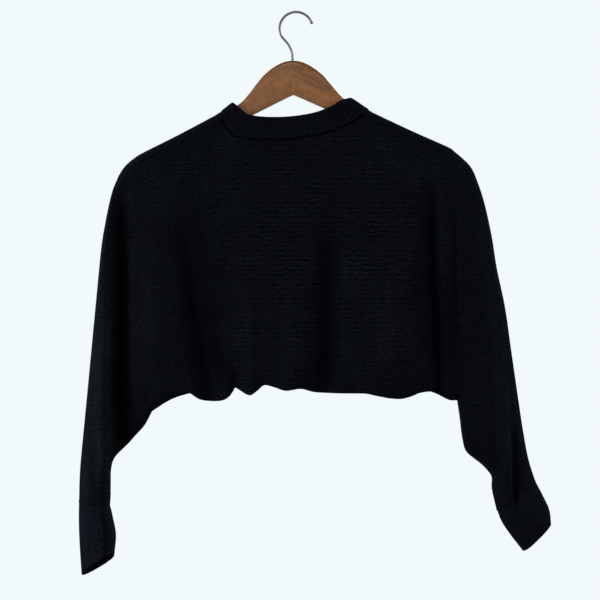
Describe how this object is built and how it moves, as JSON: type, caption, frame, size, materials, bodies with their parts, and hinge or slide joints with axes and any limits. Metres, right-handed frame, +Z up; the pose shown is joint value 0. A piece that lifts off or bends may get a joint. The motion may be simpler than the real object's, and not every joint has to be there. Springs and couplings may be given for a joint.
{
  "type": "cropped sweater on a hanger",
  "caption": "Cropped knit sweater with wide dolman sleeves, a ribbed crew neckband and plain cuffs, hanging on a wooden hanger with a wire hook.",
  "frame": {"origin": "inside top of the hook's bend, where the rail carries it", "axes": "+Z up along the hanging garment; -Y is the garment's back, which the picture shows, and +Y its front; +X is to the right seen from the back"},
  "size_m": [0.6137, 0.0792, 0.7297],
  "materials": {
    "back_panel": "matt black jersey knit",
    "front_panel": "matt black jersey knit",
    "neckband": "matt black 1x1 rib",
    "cuff_left": "matt black knit",
    "cuff_right": "matt black knit",
    "hanger_arm_left": "stained and lacquered",
    "hanger_arm_right": "stained and lacquered",
    "hanger_hook": "plated, bright"
  },
  "bodies": {
    "root": {"back_panel": "back_panel", "front_panel": "front_panel", "neckband": "neckband", "cuff_left": "cuff_left", "cuff_right": "cuff_right", "hanger_arm_left": "hanger_arm_left", "hanger_arm_right": "hanger_arm_right", "hanger_hook": "hanger_hook"}
  },
  "joints": []
}
